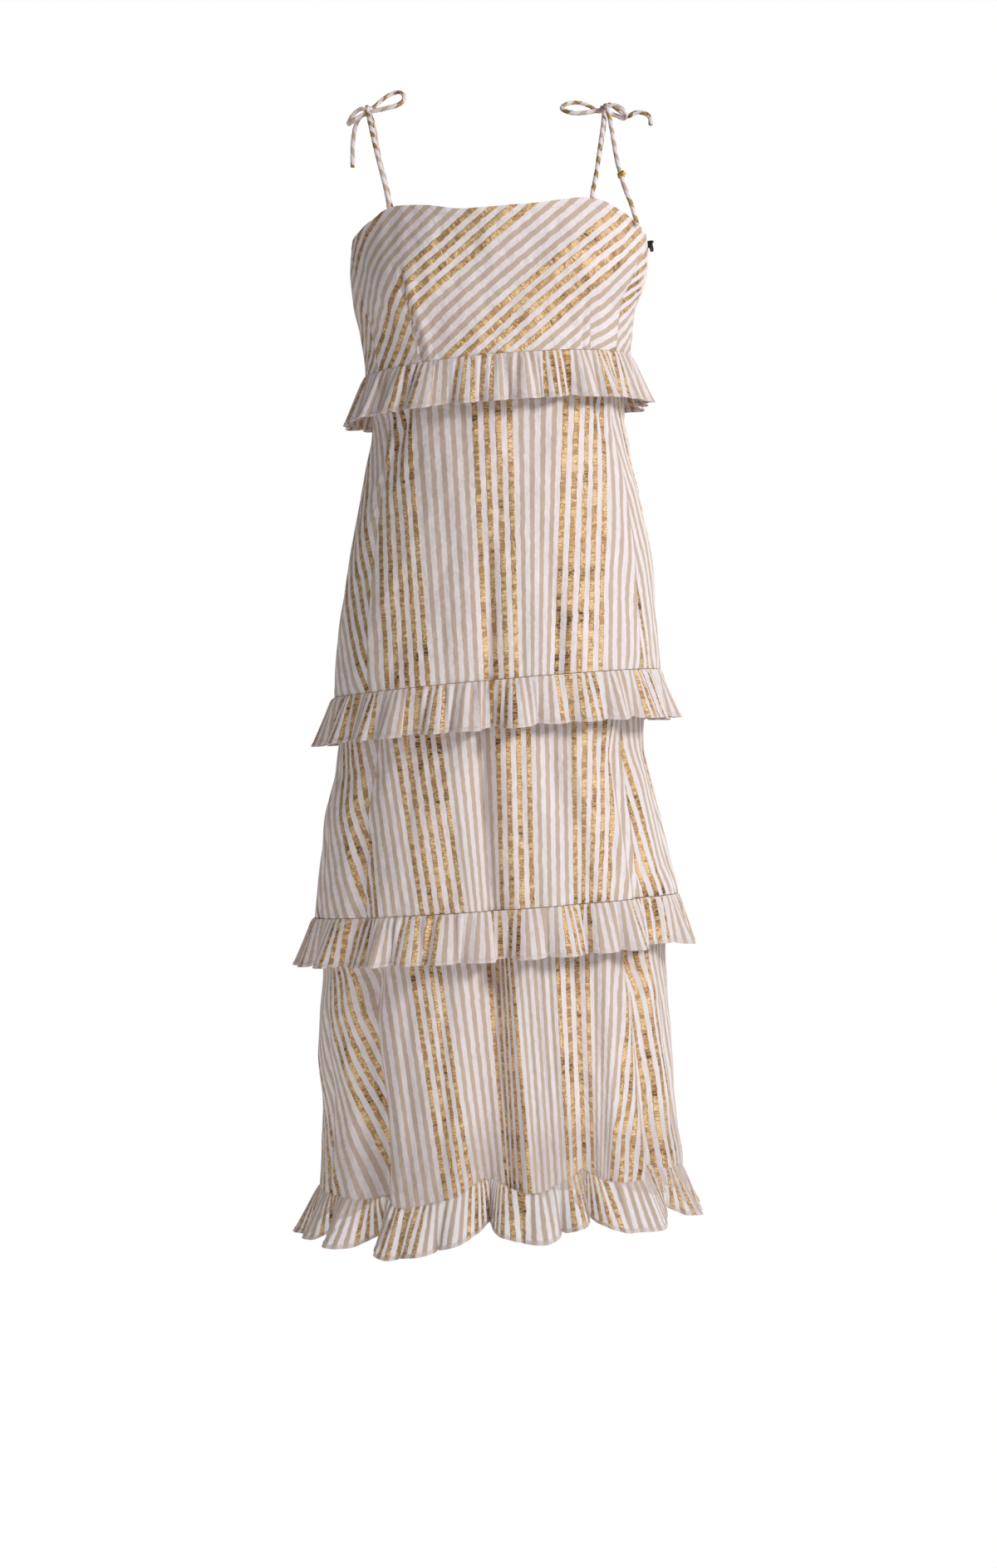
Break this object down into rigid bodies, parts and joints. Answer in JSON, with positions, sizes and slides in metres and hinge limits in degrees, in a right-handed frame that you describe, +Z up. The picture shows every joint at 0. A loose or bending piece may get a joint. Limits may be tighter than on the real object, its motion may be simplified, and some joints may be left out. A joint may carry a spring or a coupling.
{
  "type": "dress",
  "caption": "Sleeveless striped midi dress with shoulder ties in bows, a straight bodice and a tiered skirt, a gathered ruffle at every seam and the hem",
  "frame": {"origin": "on the line between the tops of the two shoulder ties, where the wearer's shoulders hold the dress up", "axes": "+Z up, -Y to the dress's front, +X to the viewer's right when the front is seen"},
  "size_m": [0.4118, 0.3712, 1.1572],
  "materials": {
    "striped_cloth": "crisp light cloth with narrow taupe and crinkled gold foil stripes on lilac white",
    "tie_cloth": "rouleau tube of the same striped cloth, the stripes winding round it",
    "gold_metal": "polished gold-coloured metal",
    "dark_enamel": "glossy dark brown enamel"
  },
  "bodies": {
    "dress": {"bodice_front": "striped_cloth", "bodice_back": "striped_cloth", "skirt_upper_front": "striped_cloth", "skirt_upper_back": "striped_cloth", "skirt_middle_front": "striped_cloth", "skirt_middle_back": "striped_cloth", "skirt_lower_front": "striped_cloth", "skirt_lower_back": "striped_cloth", "ruffle_bust_front": "striped_cloth", "ruffle_bust_back": "striped_cloth", "ruffle_hip_front": "striped_cloth", "ruffle_hip_back": "striped_cloth", "ruffle_knee_front": "striped_cloth", "ruffle_knee_back": "striped_cloth", "ruffle_hem_front": "striped_cloth", "ruffle_hem_back": "striped_cloth", "strap_front_left": "tie_cloth", "strap_back_left": "tie_cloth", "strap_front_right": "tie_cloth", "strap_back_right": "tie_cloth", "bow_left": "tie_cloth", "bow_right": "tie_cloth", "tail_left_inner": "tie_cloth", "tail_left_outer": "tie_cloth", "tail_right_side": "tie_cloth", "tail_right_front": "tie_cloth", "charm": "gold_metal", "zip_slider": "dark_enamel"},
    "pull_tab": {"zip_pull": "dark_enamel"}
  },
  "joints": [
    {"name": "pull_tab_swing", "type": "hinge", "parent": "dress", "child": "pull_tab", "pos_m": [0.15437, -0.00968, -0.12861], "axis": [-0.6691, -0.7431, 0], "range_deg": [0, 120]}
  ]
}
